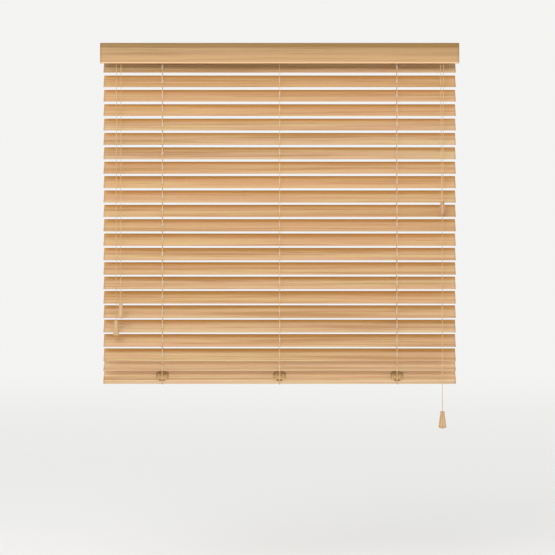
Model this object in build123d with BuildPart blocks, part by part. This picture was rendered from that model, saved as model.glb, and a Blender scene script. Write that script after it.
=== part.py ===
"""Wooden slatted (Venetian) blind for a window recess, in millimetres.

Frame: X runs along the slats, -Y is the room side, +Z is up. The origin is the middle of
the four ceiling screw holes, on the top plane of the brackets.
"""
from build123d import *
from math import asin, cos, radians, sin, tan
import os

os.makedirs("parts", exist_ok=True)

# Slats
SLAT_LENGTH = 1050.0
SLAT_WIDTH = 50.0
SLAT_THICKNESS = 3.0
SLAT_COUNT = 22
SLAT_PITCH = 43.0
SLAT_TILT = 47.0  # front edge down, degrees
FIRST_SLAT_Z = -68.6
LAST_SLAT_Z = -961.5
END_TILT = 34.0  # the last slat and the rail hang flatter than the rest
LAST_FIXED_SLAT = 10  # the slats below this one gather when the rail is raised
ROUTE_SLOT = (20.0, 6.0)

# Bottom rail
RAIL_THICKNESS = 14.0
RAIL_CORNER = 3.0
RAIL_Z = -996.0
RAIL_SLOT = (25.0, 6.0)
RAIL_SLOT_DEPTH = 9.5
BUTTON_RADIUS = 10.0
BUTTON_HEIGHT = 2.0
PLUG_RADIUS = 6.0
PLUG_DEPTH = 4.0
KNOT_WIDTH = 36.0
KNOT_THICKNESS = 3.0
KNOT_REACH = (22.0, -4.0)  # how far the knot covers the top face and the front face
PLUG_FIT = 0.05
PLUG_END_GAP = 0.2

# Ladders and lift cords
LADDERS = (-350.0, 0.0, 350.0)
LIFT_CORDS = (-350.0, 350.0)
LADDER_REACH = 27.0  # from a slat's middle to its string
STRING_RADIUS = 0.8
LIFT_CORD_RADIUS = 0.8
LADDER_TOP = -46.0
FRONT_BEND_Z = (-946.0, -970.0)  # where the front strings begin and end their way out to the rail
REAR_BEND_Z = (-914.0, -944.0)
REAR_STRING_END_Z = -982.6
END_STRING_GAP = 0.2  # between a string and the last slat's rounded edge
STRING_END_SHIFT = 0.1

# Headrail
HEADRAIL_WIDTH = 57.0
HEADRAIL_HEIGHT = 40.0
HEADRAIL_TOP = -1.6
HEADRAIL_GAUGE = 1.0
HEADRAIL_LIP = 6.0
HEADRAIL_FLOOR = HEADRAIL_TOP - HEADRAIL_HEIGHT + HEADRAIL_GAUGE
CAP_PLATE = 1.5
CAP_SPIGOT = 6.0
CAP_CORNER = 2.0
CAP_FIT = 2.4  # how much smaller the spigot is than the channel, over its width
CAP_WALL = 2.0
OUTLET_OPENING = (26.0, 22.0, 12.0)  # width, depth and height cut from the front lower corner
LADDER_SLOT = (44.0, 8.0)

# Valance
VALANCE_LENGTH = 1067.0
VALANCE_HEIGHT = 61.0
VALANCE_THICKNESS = 9.0
VALANCE_BACK_Y = -33.5
VALANCE_TOP = -0.5
VALANCE_ROUNDING = 2.5
CLIP_POSITIONS = (-420.0, 20.0, 420.0)
CLIP_WIDTH = 20.0
CLIP_HOOK = 9.0
CLIP_GAUGE = 1.5
CLIP_TOP_Z = -4.0
CLIP_BOTTOM_Z = -34.0

# Brackets
BRACKET_GAUGE = 1.5
BRACKET_LENGTH = 35.0
BRACKET_INNER_HEIGHT = 40.15
BRACKET_INNER_WIDTH = 58.0
BRACKET_OUTER_X = 529.5
BRACKET_HOLE_X = 511.0
BRACKET_HOLE_Y = 14.0
BRACKET_HOLE_RADIUS = 2.5
WALL_HOLE_Z = (-12.0, -30.0)

# Tilting gear
ROD_Z = -17.0
ROD_ACROSS_FLATS = 6.0
ROD_ENDS = (-500.0, 368.0)
DRUM_LENGTH = 22.0
DRUM_RADIUS = 8.0
DRUM_FLANGE_RADIUS = 9.5
DRUM_FLANGE = 2.0
DRUM_BORE_RADIUS = 3.6
CRADLE_LENGTH = 34.0
CRADLE_WIDTH = 54.0
CRADLE_WALL = 3.0
CRADLE_TOP = -13.0
TILTER_X = -478.7
WHEEL_RADIUS = 8.5
WHEEL_LENGTH = 10.0
WHEEL_TEETH = 16
TOOTH = (2.0, 1.5)
CRADLE_BASE = 3.0
CRADLE_OPENING = (8.0, 40.0)
LIFT_WINDOW = (12.0, 6.0)
LIFT_WINDOW_Y = -2.5
PULLEY_RADIUS = 6.7  # to the middle of the wound cord
PULLEY_Y = -23.4
PULLEY_LENGTH = 5.0
WORM_RADIUS = 4.6
WORM_Z = -30.6
WORM_BACK_Y = 8.0
WORM_LENGTH = 20.0
WORM_THREADS = 6
WORM_SHAFT_RADIUS = 2.0
THREAD_PITCH = 3.0
THREAD_WIDTH = 1.4
PULLEY_RIM = 1.0
TILTER_BODY = (42.0, 40.0, 36.0)
TILTER_BODY_Y = -7.0
WHEEL_POCKET = (1.2, 14.0)  # gap round the worm wheel, and the pocket's length
WORM_GAP = 0.6
WORM_POCKET_LENGTH = 32.0
PULLEY_GAP = 2.4
RUNNING_GAP = 0.5

# Cord lock
LOCK_X = 482.7
LOCK_CORD_X = (478.4, 487.0)
LOCK_ROLLER_RADIUS = 2.6
LOCK_ROLLER_Z = -31.0
LOCK_ROLLER_LENGTH = 18.0
LOCK_BODY = (36.0, 34.0, 20.0)
LOCK_BODY_PLACE = (482.0, -10.0)
LOCK_CHAMBER = (12.0, 0.4, 45.0)  # length, play round the roller, slope in degrees
LOCK_CHAMBER_DEPTH = 20.0
LOCK_WINDOW = (14.0, 4.0)
CORD_RUN_Z = -31.0
GUIDE_BEND = 5.0  # radius of the lift cord over a cradle's guide post
POST_LENGTH = 16.0
POST_GAP = 0.2

# Free cords, straight under the weight of their tassels
EXIT_Y = -31.0
EXIT_Z = -46.0
NOSE = (22.0, 12.5, 10.0)
NOSE_Y = -26.25
NOSE_HOLE_RADIUS = 1.5
NOSE_HOLE_Y = -30.2
BEND_Z = -75.0
TILT_CORD_RADIUS = 1.0
PULL_CORD_RADIUS = 1.1
LONG_CORD = ((-485.4, EXIT_Y, EXIT_Z), (-485.5, -31.1, BEND_Z), (-486.0, -35.5, -825.0))
SHORT_CORD = ((-472.0, EXIT_Y, EXIT_Z), (-472.0, -31.5, BEND_Z), (-471.5, -48.5, -772.9))
JOINER_TOP = (483.5, -34.0, -472.0)
LIFT_TAILS = (
    ((478.4, EXIT_Y, EXIT_Z), (478.5, -31.1, BEND_Z), (481.7, -34.0, -471.9)),
    ((487.0, EXIT_Y, EXIT_Z), (486.9, -31.1, BEND_Z), (485.3, -34.0, -471.9)),
)
JOINER_LENGTH = 40.0
JOINER_RADIUS = 7.0
JOINER_RIM_RADIUS = 5.4
PULL_CORD_END = (484.0, -34.0, -1095.0)
TILT_TASSEL = (5.7, 9.5, 46.0)  # top radius, bottom radius, height
LIFT_TASSEL = (7.0, 12.0, 51.0)
TASSEL_FOOT = 0.86  # share of the height, from the top, at which the domed foot begins
TASSEL_WAIST = (0.45, 0.8)  # share of the height, and share of the top radius in the mix there


def save(piece, label):
    """Labels a finished piece and writes it as parts/label.step."""
    piece.part.label = label
    export_step(piece.part, f"parts/{label}.step")


def slat_z(index):
    """Height of a slat's middle."""
    if index == SLAT_COUNT - 1:
        return LAST_SLAT_Z
    return FIRST_SLAT_Z - SLAT_PITCH * index


def face_plane(z, tilt):
    """Plane in a tilted board: its X is the row's X, its Z is the board's normal."""
    angle = radians(tilt)
    return Plane(origin=(0, 0, z), x_dir=(1, 0, 0), z_dir=(0, -sin(angle), cos(angle)))


def section_plane(z, tilt, start_x):
    """Plane across a tilted board: its X points to the board's rear edge, its Y is the normal."""
    angle = radians(tilt)
    return Plane(origin=(start_x, 0, z), x_dir=(0, cos(angle), sin(angle)), z_dir=(1, 0, 0))


def cord_solid(route, radius, bends=None):
    """One solid tube along straight runs, joined by arcs as large as the runs allow."""
    points = [Vector(*point) for point in route]
    if bends is None:
        bends = []
        for before, corner, after in zip(points, points[1:], points[2:]):
            shorter = min((corner - before).length, (after - corner).length)
            turn = radians((corner - before).get_angle(after - corner))
            bends.append(0.45 * shorter / tan(turn / 2))
    print("bend radii:", [round(bend, 1) for bend in bends])
    with BuildLine() as path:
        if len(points) > 2:
            FilletPolyline(*points, radius=bends)
        else:
            Line(points[0], points[1])
    with BuildPart() as tube:
        with BuildSketch(Plane(origin=path.line @ 0, z_dir=path.line % 0)):
            Circle(radius)
        sweep(path=path.line)
    return tube.part


# ---------------------------------------------------------------- slats

for index in range(SLAT_COUNT):
    tilt = END_TILT if index == SLAT_COUNT - 1 else SLAT_TILT
    with BuildPart() as slat:
        with BuildSketch(section_plane(slat_z(index), tilt, -SLAT_LENGTH / 2)):
            SlotOverall(SLAT_WIDTH, SLAT_THICKNESS)
        extrude(amount=SLAT_LENGTH)
        with BuildSketch(face_plane(slat_z(index), tilt)):
            with Locations(*[(x, 0) for x in LIFT_CORDS]):
                SlotOverall(*ROUTE_SLOT, rotation=90)
        extrude(amount=SLAT_THICKNESS, both=True, mode=Mode.SUBTRACT)
    save(slat, f"slat_{index:02d}")


# ---------------------------------------------------------------- bottom rail

half_rail = RAIL_THICKNESS / 2

with BuildPart() as bottom_rail:
    with BuildSketch(section_plane(RAIL_Z, END_TILT, -SLAT_LENGTH / 2)):
        RectangleRounded(SLAT_WIDTH, RAIL_THICKNESS, RAIL_CORNER)
    extrude(amount=SLAT_LENGTH)
    with BuildSketch(face_plane(RAIL_Z, END_TILT).offset(half_rail)):
        with Locations(*[(x, 0) for x in LIFT_CORDS]):
            SlotOverall(*RAIL_SLOT, rotation=90)
    extrude(amount=-RAIL_SLOT_DEPTH, mode=Mode.SUBTRACT)
    with BuildSketch(face_plane(RAIL_Z, END_TILT).offset(-half_rail)):
        with Locations(*[(x, 0) for x in LADDERS]):
            Circle(PLUG_RADIUS)
    extrude(amount=PLUG_DEPTH, mode=Mode.SUBTRACT)
save(bottom_rail, "bottom_rail")

with BuildPart() as rail_buttons:
    with BuildSketch(face_plane(RAIL_Z, END_TILT).offset(-half_rail)):
        with Locations(*[(x, 0) for x in LADDERS]):
            Circle(BUTTON_RADIUS)
    extrude(amount=-BUTTON_HEIGHT)
    with BuildSketch(face_plane(RAIL_Z, END_TILT).offset(-half_rail)):
        with Locations(*[(x, 0) for x in LADDERS]):
            Circle(PLUG_RADIUS - PLUG_FIT)
    extrude(amount=PLUG_DEPTH - PLUG_END_GAP)
save(rail_buttons, "rail_buttons")

with BuildPart() as ladder_knots:
    for x in LADDERS:
        with BuildSketch(section_plane(RAIL_Z, END_TILT, x - KNOT_WIDTH / 2)):
            RectangleRounded(
                SLAT_WIDTH + 2 * KNOT_THICKNESS,
                RAIL_THICKNESS + 2 * KNOT_THICKNESS,
                RAIL_CORNER + KNOT_THICKNESS,
            )
            RectangleRounded(SLAT_WIDTH, RAIL_THICKNESS, RAIL_CORNER, mode=Mode.SUBTRACT)
            with Locations(KNOT_REACH):
                Rectangle(
                    2 * SLAT_WIDTH, RAIL_THICKNESS, align=(Align.MAX, Align.MIN), mode=Mode.INTERSECT
                )
        extrude(amount=KNOT_WIDTH)
    with BuildSketch(face_plane(RAIL_Z, END_TILT)):
        with Locations(*[(x, 0) for x in LIFT_CORDS]):
            SlotOverall(*RAIL_SLOT, rotation=90)
    extrude(amount=RAIL_THICKNESS, mode=Mode.SUBTRACT)
save(ladder_knots, "ladder_knots")


# ---------------------------------------------------------------- ladders and lift cords

string_y = LADDER_REACH * cos(radians(SLAT_TILT))
end_string_y = LADDER_REACH * cos(radians(END_TILT)) + END_STRING_GAP

with BuildPart() as ladder_front_strings:
    for x in LADDERS:
        route = (
            (x, -string_y, LADDER_TOP),
            (x, -string_y, FRONT_BEND_Z[0]),
            (x, -end_string_y, FRONT_BEND_Z[1]),
            (x, -end_string_y - STRING_END_SHIFT, RAIL_Z),
        )
        add(cord_solid(route, STRING_RADIUS))
save(ladder_front_strings, "ladder_front_strings")

with BuildPart() as ladder_rear_strings:
    for x in LADDERS:
        route = (
            (x, string_y, LADDER_TOP),
            (x, string_y, REAR_BEND_Z[0]),
            (x, end_string_y, REAR_BEND_Z[1]),
            (x, end_string_y + STRING_END_SHIFT, REAR_STRING_END_Z),
        )
        add(cord_solid(route, STRING_RADIUS))
save(ladder_rear_strings, "ladder_rear_strings")

with BuildPart() as lift_cord_runs:
    right_route = (
        (464.0, 0, CORD_RUN_Z),
        (LIFT_CORDS[1], 0, CORD_RUN_Z),
        (LIFT_CORDS[1], 0, slat_z(LAST_FIXED_SLAT)),
    )
    left_route = (
        (464.0, -5.0, CORD_RUN_Z),
        (-300.0, -5.0, CORD_RUN_Z),
        (LIFT_CORDS[0] + 8, 0, CORD_RUN_Z),
        (LIFT_CORDS[0], 0, CORD_RUN_Z),
        (LIFT_CORDS[0], 0, slat_z(LAST_FIXED_SLAT)),
    )
    add(cord_solid(right_route, LIFT_CORD_RADIUS, [GUIDE_BEND]))
    add(cord_solid(left_route, LIFT_CORD_RADIUS, [30.0, 20.0, GUIDE_BEND]))
save(lift_cord_runs, "lift_cord_runs")

for index in range(LAST_FIXED_SLAT + 1, SLAT_COUNT + 1):
    step_top = slat_z(index - 1)
    step_bottom = RAIL_Z if index == SLAT_COUNT else slat_z(index)
    with BuildPart() as lift_cord_step:
        with BuildSketch(Plane.XY.offset(step_bottom)):
            with Locations(*[(x, 0) for x in LIFT_CORDS]):
                Circle(LIFT_CORD_RADIUS)
        extrude(amount=step_top - step_bottom)
    if index == SLAT_COUNT:
        save(lift_cord_step, "lift_cord_rail_end")
    else:
        save(lift_cord_step, f"lift_cord_step_{index:02d}")


# ---------------------------------------------------------------- headrail

headrail_middle = HEADRAIL_TOP - HEADRAIL_HEIGHT / 2

with BuildPart() as headrail:
    with BuildSketch(section_plane(headrail_middle, 0, -SLAT_LENGTH / 2)):
        Rectangle(HEADRAIL_WIDTH, HEADRAIL_HEIGHT)
        Rectangle(
            HEADRAIL_WIDTH - 2 * HEADRAIL_GAUGE,
            HEADRAIL_HEIGHT - 2 * HEADRAIL_GAUGE,
            mode=Mode.SUBTRACT,
        )
        with Locations((0, HEADRAIL_HEIGHT / 2)):
            Rectangle(HEADRAIL_WIDTH - 2 * HEADRAIL_LIP, 4 * HEADRAIL_GAUGE, mode=Mode.SUBTRACT)
    extrude(amount=SLAT_LENGTH)
    with BuildSketch(Plane.XY.offset(HEADRAIL_FLOOR + 1)):
        with Locations(*[(x, 0) for x in LADDERS]):
            SlotOverall(*LADDER_SLOT, rotation=90)
    extrude(amount=-4, mode=Mode.SUBTRACT)
    # openings in the front lower corner for the tilter's and the cord lock's outlets
    with BuildSketch(Plane.XY.offset(HEADRAIL_FLOOR - 4)):
        with Locations((TILTER_X, EXIT_Y), (LOCK_X, EXIT_Y)):
            Rectangle(*OUTLET_OPENING[:2])
    extrude(amount=OUTLET_OPENING[2], mode=Mode.SUBTRACT)
save(headrail, "headrail")

with BuildPart() as headrail_end_caps:
    for side in (-1, 1):
        outer = Plane(origin=(side * SLAT_LENGTH / 2, 0, headrail_middle), x_dir=(0, 1, 0),
                      z_dir=(side, 0, 0))
        with BuildSketch(outer):
            RectangleRounded(HEADRAIL_WIDTH, HEADRAIL_HEIGHT, CAP_CORNER)
        extrude(amount=CAP_PLATE)
        with BuildSketch(outer):
            Rectangle(HEADRAIL_WIDTH - CAP_FIT, HEADRAIL_HEIGHT - CAP_FIT)
            cap_hollow = CAP_FIT + 2 * CAP_WALL
            Rectangle(
                HEADRAIL_WIDTH - cap_hollow, HEADRAIL_HEIGHT - cap_hollow, mode=Mode.SUBTRACT
            )
        extrude(amount=-CAP_SPIGOT)
save(headrail_end_caps, "headrail_end_caps")

with BuildPart() as valance:
    valance_centre = (0, VALANCE_BACK_Y - VALANCE_THICKNESS / 2, VALANCE_TOP - VALANCE_HEIGHT / 2)
    with Locations(valance_centre):
        Box(VALANCE_LENGTH, VALANCE_THICKNESS, VALANCE_HEIGHT)
    fillet(valance.faces().sort_by(Axis.Y)[0].edges(), radius=VALANCE_ROUNDING)
save(valance, "valance")

with BuildPart() as valance_clips:
    front = -HEADRAIL_WIDTH / 2
    hook_top = HEADRAIL_TOP + CLIP_GAUGE
    for x in CLIP_POSITIONS:
        with BuildSketch(Plane(origin=(x, 0, 0), x_dir=(0, 1, 0), z_dir=(1, 0, 0))):
            with BuildLine():
                Polyline(
                    (VALANCE_BACK_Y, CLIP_TOP_Z),
                    (front - CLIP_GAUGE, hook_top),
                    (front + CLIP_HOOK, hook_top),
                    (front + CLIP_HOOK, HEADRAIL_TOP),
                    (front, HEADRAIL_TOP),
                    (front, CLIP_BOTTOM_Z),
                    (VALANCE_BACK_Y, CLIP_BOTTOM_Z),
                    close=True,
                )
            make_face()
        extrude(amount=CLIP_WIDTH / 2, both=True)
save(valance_clips, "valance_clips")


# ---------------------------------------------------------------- brackets

with BuildPart() as mounting_brackets:
    outer_width = BRACKET_INNER_WIDTH + 2 * BRACKET_GAUGE
    outer_height = BRACKET_INNER_HEIGHT + 2 * BRACKET_GAUGE
    for side in (-1, 1):
        end_x = side * BRACKET_OUTER_X
        shell_x = end_x - side * BRACKET_LENGTH / 2
        with Locations((shell_x, 0, -outer_height / 2)):
            Box(BRACKET_LENGTH, outer_width, outer_height)
        with Locations((shell_x - side * BRACKET_GAUGE, 0, -outer_height / 2)):
            Box(BRACKET_LENGTH, BRACKET_INNER_WIDTH, BRACKET_INNER_HEIGHT, mode=Mode.SUBTRACT)
    with BuildSketch(Plane.XY):
        with GridLocations(2 * BRACKET_HOLE_X, 2 * BRACKET_HOLE_Y, 2, 2):
            Circle(BRACKET_HOLE_RADIUS)
    extrude(amount=-BRACKET_GAUGE, mode=Mode.SUBTRACT)
    with BuildSketch(Plane.XZ.offset(-outer_width / 2)):
        with Locations(*[(s * BRACKET_HOLE_X, z) for s in (-1, 1) for z in WALL_HOLE_Z]):
            Circle(BRACKET_HOLE_RADIUS)
    extrude(amount=BRACKET_GAUGE, mode=Mode.SUBTRACT)
save(mounting_brackets, "mounting_brackets")


# ---------------------------------------------------------------- tilting gear

with BuildPart() as tilt_rod:
    with BuildSketch(Plane(origin=(ROD_ENDS[0], 0, ROD_Z), x_dir=(0, 1, 0), z_dir=(1, 0, 0))):
        RegularPolygon(ROD_ACROSS_FLATS / 2, 6, major_radius=False)
    extrude(amount=ROD_ENDS[1] - ROD_ENDS[0])
    wheel_start = TILTER_X - WHEEL_LENGTH / 2
    with BuildSketch(Plane(origin=(wheel_start, 0, ROD_Z), x_dir=(0, 1, 0), z_dir=(1, 0, 0))):
        Circle(WHEEL_RADIUS - 1)
        with PolarLocations(WHEEL_RADIUS - 1, WHEEL_TEETH):
            Rectangle(*TOOTH)
    extrude(amount=WHEEL_LENGTH)
save(tilt_rod, "tilt_rod")

with BuildPart() as ladder_drums:
    for x in LADDERS:
        start = Plane(origin=(x - DRUM_LENGTH / 2, 0, ROD_Z), x_dir=(0, 1, 0), z_dir=(1, 0, 0))
        with BuildSketch(start):
            Circle(DRUM_RADIUS)
        extrude(amount=DRUM_LENGTH)
        for flange_start in (0, DRUM_LENGTH / 2 - DRUM_FLANGE / 2, DRUM_LENGTH - DRUM_FLANGE):
            with BuildSketch(start.offset(flange_start)):
                Circle(DRUM_FLANGE_RADIUS)
            extrude(amount=DRUM_FLANGE)
        with BuildSketch(start):
            Circle(DRUM_BORE_RADIUS)
        extrude(amount=DRUM_LENGTH, mode=Mode.SUBTRACT)
save(ladder_drums, "ladder_drums")

with BuildPart() as drum_cradles:
    base_z = HEADRAIL_FLOOR
    wall_height = CRADLE_TOP - base_z
    wall_x = (CRADLE_LENGTH - CRADLE_WALL) / 2
    for x in LADDERS:
        with BuildSketch(Plane.XY.offset(base_z)):
            with Locations((x, 0)):
                Rectangle(CRADLE_LENGTH, CRADLE_WIDTH)
        extrude(amount=CRADLE_BASE)
        with BuildSketch(Plane.XY.offset(base_z)):
            with Locations(*[(x + side * wall_x, 0) for side in (-1, 1)]):
                Rectangle(CRADLE_WALL, CRADLE_WIDTH)
        extrude(amount=wall_height)
        # ladder strings and lift cord pass through the base
        with BuildSketch(Plane.XY.offset(base_z - 1)):
            with Locations((x, 0)):
                Rectangle(*CRADLE_OPENING)
        extrude(amount=2 * CRADLE_BASE, mode=Mode.SUBTRACT)
        # open bearings for the rod and windows for the lift cords in both walls
        with BuildSketch(Plane(origin=(x, 0, 0), x_dir=(0, 1, 0), z_dir=(1, 0, 0))):
            with Locations((0, ROD_Z)):
                Circle(DRUM_BORE_RADIUS)
            with Locations((0, ROD_Z + 5)):
                Rectangle(2 * DRUM_BORE_RADIUS, 10)
            with Locations((LIFT_WINDOW_Y, CORD_RUN_Z)):
                Rectangle(*LIFT_WINDOW)
        extrude(amount=CRADLE_LENGTH, both=True, mode=Mode.SUBTRACT)
        # the guide post that turns the lift cord from its run down into the slats
        post_origin = (x + GUIDE_BEND, POST_LENGTH / 2, CORD_RUN_Z - GUIDE_BEND)
        with BuildSketch(Plane(origin=post_origin, x_dir=(1, 0, 0), z_dir=(0, -1, 0))):
            Circle(GUIDE_BEND - LIFT_CORD_RADIUS - POST_GAP)
        extrude(amount=POST_LENGTH)
save(drum_cradles, "drum_cradles")

with BuildPart() as tilter_housing:
    with BuildSketch(Plane.XY.offset(HEADRAIL_FLOOR)):
        with Locations((TILTER_X, TILTER_BODY_Y)):
            Rectangle(*TILTER_BODY[:2])
    extrude(amount=TILTER_BODY[2])
    # outlet nose, through the headrail's corner, with a hole for each cord
    with BuildSketch(Plane.XY.offset(EXIT_Z)):
        with Locations((TILTER_X, NOSE_Y)):
            Rectangle(*NOSE[:2])
    extrude(amount=NOSE[2])
    pocket_gap, pocket_length = WHEEL_POCKET
    pocket_start = (TILTER_X - pocket_length / 2, 0, ROD_Z)
    with BuildSketch(Plane(origin=pocket_start, x_dir=(0, 1, 0), z_dir=(1, 0, 0))):
        Circle(WHEEL_RADIUS + pocket_gap)
    extrude(amount=pocket_length, mode=Mode.SUBTRACT)
    with BuildSketch(Plane(origin=(TILTER_X, 0, ROD_Z), x_dir=(0, 1, 0), z_dir=(1, 0, 0))):
        Circle(DRUM_BORE_RADIUS)
    extrude(amount=TILTER_BODY[0], both=True, mode=Mode.SUBTRACT)
    worm_back = WORM_BACK_Y + RUNNING_GAP
    with BuildSketch(Plane(origin=(TILTER_X, worm_back, WORM_Z), x_dir=(1, 0, 0),
                           z_dir=(0, -1, 0))):
        Circle(WORM_RADIUS + WORM_GAP)
    extrude(amount=WORM_POCKET_LENGTH, mode=Mode.SUBTRACT)
    pulley_back = PULLEY_Y + PULLEY_LENGTH / 2 + RUNNING_GAP
    with BuildSketch(Plane(origin=(TILTER_X, pulley_back, WORM_Z), x_dir=(1, 0, 0),
                           z_dir=(0, -1, 0))):
        Circle(PULLEY_RADIUS + PULLEY_GAP)
    extrude(amount=PULLEY_LENGTH + 2 * RUNNING_GAP, mode=Mode.SUBTRACT)
    with BuildSketch(Plane.XY.offset(EXIT_Z)):
        with Locations(*[(TILTER_X + s * PULLEY_RADIUS, NOSE_HOLE_Y) for s in (-1, 1)]):
            Circle(NOSE_HOLE_RADIUS)
    extrude(amount=NOSE[2], mode=Mode.SUBTRACT)
save(tilter_housing, "tilter_housing")

with BuildPart() as tilter_worm:
    worm_base = Plane(origin=(TILTER_X, WORM_BACK_Y, WORM_Z), x_dir=(1, 0, 0), z_dir=(0, -1, 0))
    pulley_start = WORM_BACK_Y - PULLEY_Y - PULLEY_LENGTH / 2
    with BuildSketch(worm_base):
        Circle(WORM_SHAFT_RADIUS)
    extrude(amount=pulley_start + PULLEY_LENGTH)
    with BuildSketch(worm_base.offset(2)):
        Circle(WORM_RADIUS - 1)
    extrude(amount=WORM_LENGTH)
    for turn in range(WORM_THREADS):
        with BuildSketch(worm_base.offset(THREAD_PITCH * (turn + 1))):
            Circle(WORM_RADIUS)
        extrude(amount=THREAD_WIDTH)
    with BuildSketch(worm_base.offset(pulley_start)):
        Circle(PULLEY_RADIUS - TILT_CORD_RADIUS)
    extrude(amount=PULLEY_LENGTH)
    for rim in (0, PULLEY_LENGTH - PULLEY_RIM):
        with BuildSketch(worm_base.offset(pulley_start + rim)):
            Circle(PULLEY_RADIUS + 1.8)
        extrude(amount=PULLEY_RIM)
save(tilter_worm, "tilter_worm")


# ---------------------------------------------------------------- cord lock

with BuildPart() as cord_lock_housing:
    with BuildSketch(Plane.XY.offset(HEADRAIL_FLOOR)):
        with Locations(LOCK_BODY_PLACE):
            Rectangle(*LOCK_BODY[:2])
    extrude(amount=LOCK_BODY[2])
    with BuildSketch(Plane.XY.offset(EXIT_Z)):
        with Locations((LOCK_X, NOSE_Y)):
            Rectangle(*NOSE[:2])
    extrude(amount=NOSE[2])
    # slanted chamber in which the roller climbs and nips the cords
    chamber_x = LOCK_X - 4
    chamber_length, chamber_play, chamber_slope = LOCK_CHAMBER
    with BuildSketch(Plane.XZ.offset(-4)):
        with Locations((chamber_x + 1.2, LOCK_ROLLER_Z + 1.2)):
            SlotOverall(
                chamber_length, 2 * LOCK_ROLLER_RADIUS + chamber_play, rotation=chamber_slope
            )
        with Locations((chamber_x - 8, LOCK_ROLLER_Z)):
            Rectangle(*LOCK_WINDOW)
    extrude(amount=LOCK_CHAMBER_DEPTH, mode=Mode.SUBTRACT)
    with BuildSketch(Plane.XY.offset(EXIT_Z)):
        with Locations(*[(x, NOSE_HOLE_Y) for x in LOCK_CORD_X]):
            Circle(NOSE_HOLE_RADIUS)
    extrude(amount=NOSE[2], mode=Mode.SUBTRACT)
save(cord_lock_housing, "cord_lock_housing")

with BuildPart() as cord_lock_roller:
    with BuildSketch(Plane.XZ.offset(-3)):
        with Locations((chamber_x, LOCK_ROLLER_Z)):
            Circle(LOCK_ROLLER_RADIUS)
    extrude(amount=LOCK_ROLLER_LENGTH)
save(cord_lock_roller, "cord_lock_roller")


# ---------------------------------------------------------------- free cords and what hangs on them

for label, route in (("tilt_cord_long", LONG_CORD), ("tilt_cord_short", SHORT_CORD)):
    with BuildPart() as tilt_cord:
        add(cord_solid(route, TILT_CORD_RADIUS))
    save(tilt_cord, label)

with BuildPart() as lift_cord_tails:
    for route in LIFT_TAILS:
        add(cord_solid(route, TILT_CORD_RADIUS))
save(lift_cord_tails, "lift_cord_tails")

joiner_bottom = (JOINER_TOP[0], JOINER_TOP[1], JOINER_TOP[2] - JOINER_LENGTH)
with BuildPart() as pull_cord:
    add(cord_solid((joiner_bottom, PULL_CORD_END), PULL_CORD_RADIUS))
save(pull_cord, "pull_cord")

with BuildPart() as cord_joiner:
    with BuildSketch(Plane(origin=joiner_bottom, x_dir=(1, 0, 0), z_dir=(0, -1, 0))):
        with BuildLine():
            rim = JOINER_RIM_RADIUS
            Line((0, 0), (rim, 0))
            ThreePointArc((rim, 0), (JOINER_RADIUS, JOINER_LENGTH / 2), (rim, JOINER_LENGTH))
            Line((rim, JOINER_LENGTH), (0, JOINER_LENGTH))
            Line((0, JOINER_LENGTH), (0, 0))
        make_face()
    revolve(axis=Axis(joiner_bottom, (0, 0, 1)))
save(cord_joiner, "cord_joiner")

tassels = (
    ("tilt_tassel_long", LONG_CORD[-1], TILT_TASSEL),
    ("tilt_tassel_short", SHORT_CORD[-1], TILT_TASSEL),
    ("lift_tassel", PULL_CORD_END, LIFT_TASSEL),
)
for label, top, (top_radius, bottom_radius, height) in tassels:
    with BuildPart() as tassel:
        with BuildSketch(Plane(origin=top, x_dir=(1, 0, 0), z_dir=(0, -1, 0))):
            with BuildLine():
                Line((0, 0), (top_radius, 0))
                rim_z = -TASSEL_FOOT * height
                waist_height, waist_mix = TASSEL_WAIST
                waist_radius = waist_mix * top_radius + (1 - waist_mix) * bottom_radius
                waist = (waist_radius, -waist_height * height)
                Spline((top_radius, 0), waist, (bottom_radius, rim_z), tangents=((0.1, -1), (0.1, -1)))
                # the domed foot is part of a ball whose middle is on the axis
                rise = height + rim_z
                ball = (bottom_radius**2 + rise**2) / (2 * rise)
                half_angle = asin(bottom_radius / ball) / 2
                dome_middle = (ball * sin(half_angle), -height + ball * (1 - cos(half_angle)))
                ThreePointArc((bottom_radius, rim_z), dome_middle, (0, -height))
                Line((0, -height), (0, 0))
            make_face()
        revolve(axis=Axis(top, (0, 0, 1)))
    save(tassel, label)
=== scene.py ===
"""Looks of a wooden slatted blind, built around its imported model. Lengths are in metres.

Frame: X runs along the slats, -Y is the room side and +Z is up. The origin is the middle of
the ceiling screw holes, on the top plane of the brackets.
"""
import logging
import math
from dataclasses import dataclass, field, replace
from enum import Enum

import bmesh
import bpy
import numpy as np
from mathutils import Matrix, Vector


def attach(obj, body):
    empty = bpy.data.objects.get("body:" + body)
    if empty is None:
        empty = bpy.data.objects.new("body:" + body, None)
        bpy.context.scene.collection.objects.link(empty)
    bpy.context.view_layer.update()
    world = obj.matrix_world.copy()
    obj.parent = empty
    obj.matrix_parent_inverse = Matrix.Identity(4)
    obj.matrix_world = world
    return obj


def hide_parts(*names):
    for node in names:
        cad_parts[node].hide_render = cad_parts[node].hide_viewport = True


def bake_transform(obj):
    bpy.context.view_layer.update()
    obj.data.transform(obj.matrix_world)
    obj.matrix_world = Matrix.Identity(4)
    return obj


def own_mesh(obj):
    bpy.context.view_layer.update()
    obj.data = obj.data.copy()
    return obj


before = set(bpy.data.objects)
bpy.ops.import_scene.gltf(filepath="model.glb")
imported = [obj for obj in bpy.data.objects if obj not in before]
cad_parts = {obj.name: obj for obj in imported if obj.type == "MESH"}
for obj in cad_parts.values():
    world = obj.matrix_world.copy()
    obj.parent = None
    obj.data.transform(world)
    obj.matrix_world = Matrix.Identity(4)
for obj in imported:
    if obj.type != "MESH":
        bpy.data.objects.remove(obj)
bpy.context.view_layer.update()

MM = 0.001
SLAT_COUNT = 22
SLAT_PITCH = 43 * MM
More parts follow.
